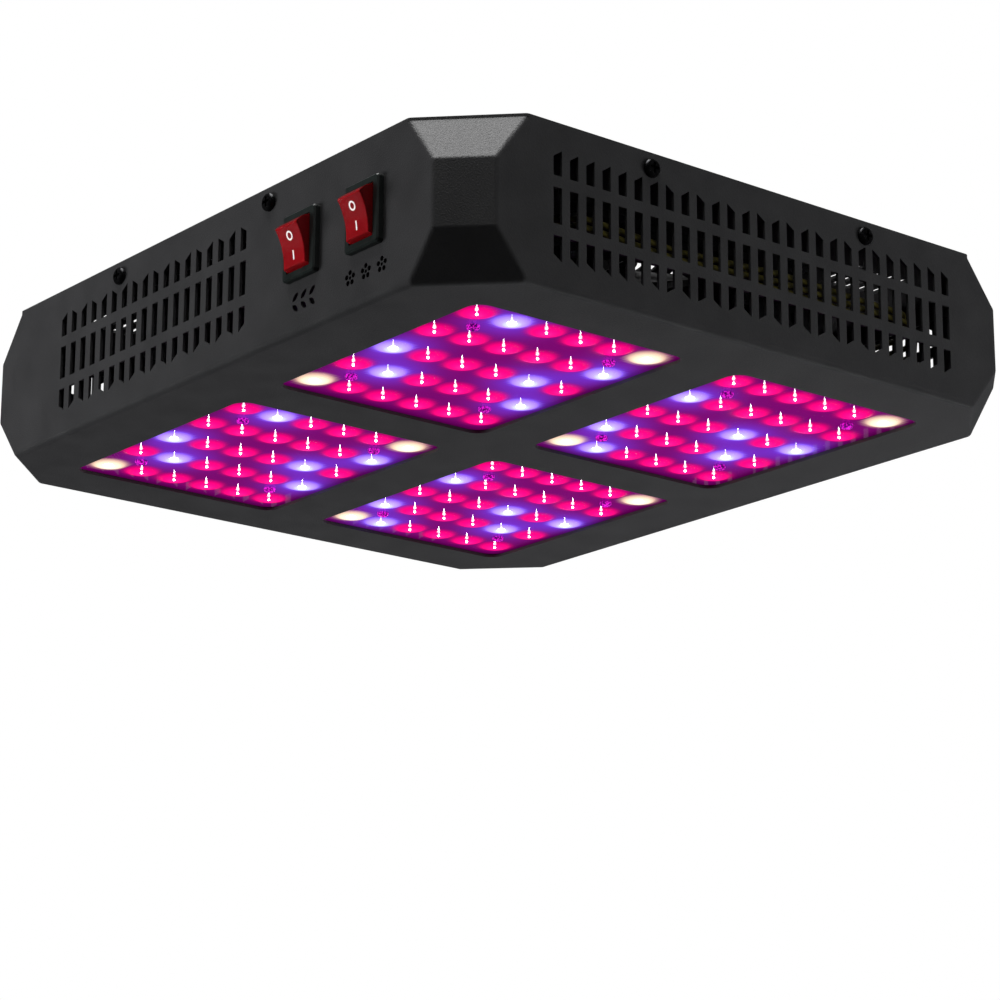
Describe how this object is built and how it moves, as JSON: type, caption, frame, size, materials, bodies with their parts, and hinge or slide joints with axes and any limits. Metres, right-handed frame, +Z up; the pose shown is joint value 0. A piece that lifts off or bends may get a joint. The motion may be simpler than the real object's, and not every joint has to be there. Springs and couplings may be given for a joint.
{
  "type": "led grow light",
  "caption": "Flat black sheet-steel hanging plant light with cut corners, slotted vented sides, lit windows of red and blue lamps underneath and red rocker switches on its front.",
  "frame": {"origin": "middle of the flat underside, on the face that rests on a bench", "axes": "+Z up, from the lit windows to the cover with its fans and hanger eyes; -Y is the front with the rocker switches; +X to the right seen from the front"},
  "size_m": [0.314, 0.2803, 0.075],
  "materials": {
    "case_steel": "black powder coat, fine satin grain",
    "black_screw": "black-plated steel",
    "zinc_steel": "bright zinc plate",
    "seal_rubber": "black adhesive gasket",
    "board_aluminium": "circuit board lit violet by its emitters",
    "emitter": "lit emitter",
    "lens_clear": "clear moulded lens",
    "sink_aluminium": "extruded aluminium",
    "fan_plastic": "black glass-filled plastic",
    "circuit_board": "green circuit board with its parts",
    "driver_metal": "plain aluminium case",
    "rocker_red": "translucent red plastic",
    "black_plastic": "black moulded plastic",
    "contact_brass": "plated brass",
    "wire_insulation": "wire insulation"
  },
  "bodies": {
    "case": {"board_screws": "zinc_steel", "cover_screws": "black_screw", "driver_board_1": "circuit_board", "driver_board_2": "circuit_board", "driver_case_1": "driver_metal", "driver_case_2": "driver_metal", "driver_lid_1": "driver_metal", "driver_lid_2": "driver_metal", "driver_screws": "zinc_steel", "fan_frame_1": "fan_plastic", "fan_frame_2": "fan_plastic", "fan_nuts": "zinc_steel", "fan_screws": "zinc_steel", "hanger_bracket_1": "zinc_steel", "hanger_bracket_2": "zinc_steel", "hanger_bracket_3": "zinc_steel", "hanger_bracket_4": "zinc_steel", "hanger_nuts": "zinc_steel", "hanger_screws": "zinc_steel", "heat_sink_1": "sink_aluminium", "heat_sink_2": "sink_aluminium", "heat_sink_3": "sink_aluminium", "heat_sink_4": "sink_aluminium", "heat_sink_posts": "zinc_steel", "heat_sink_screws": "zinc_steel", "housing": "case_steel", "inlet_body": "black_plastic", "inlet_pins": "contact_brass", "led_board_1": "board_aluminium", "led_board_2": "board_aluminium", "led_board_3": "board_aluminium", "led_board_4": "board_aluminium", "led_emitters_1": "emitter", "led_emitters_2": "emitter", "led_emitters_3": "emitter", "led_emitters_4": "emitter", "lens_plate_1": "lens_clear", "lens_plate_2": "lens_clear", "lens_plate_3": "lens_clear", "lens_plate_4": "lens_clear", "lens_seal_1": "seal_rubber", "lens_seal_2": "seal_rubber", "lens_seal_3": "seal_rubber", "lens_seal_4": "seal_rubber", "outlet_body": "black_plastic", "outlet_contacts": "contact_brass", "switch_body_1": "black_plastic", "switch_body_2": "black_plastic", "switch_terminals": "contact_brass", "top_cover": "case_steel", "wire_loom": "wire_insulation"},
    "switch_cap_1": {"switch_rocker_1": "rocker_red"},
    "switch_cap_2": {"switch_rocker_2": "rocker_red"},
    "rotor_1": {"fan_rotor_1": "fan_plastic"},
    "rotor_2": {"fan_rotor_2": "fan_plastic"}
  },
  "joints": [
    {"name": "switch_1_rock", "type": "hinge", "parent": "case", "child": "switch_cap_1", "pos_m": [0.0669, -0.1352, 0.0319], "axis": [-1, 0, 0], "range_deg": [0, 32]},
    {"name": "switch_2_rock", "type": "hinge", "parent": "case", "child": "switch_cap_2", "pos_m": [0.1036, -0.1352, 0.0319], "axis": [-1, 0, 0], "range_deg": [0, 32]},
    {"name": "fan_1_spin", "type": "hinge", "parent": "case", "child": "rotor_1", "pos_m": [-0.06, 0, 0.0518], "axis": [0, 0, 1], "continuous": true},
    {"name": "fan_2_spin", "type": "hinge", "parent": "case", "child": "rotor_2", "pos_m": [0.06, 0, 0.0518], "axis": [0, 0, 1], "continuous": true}
  ]
}
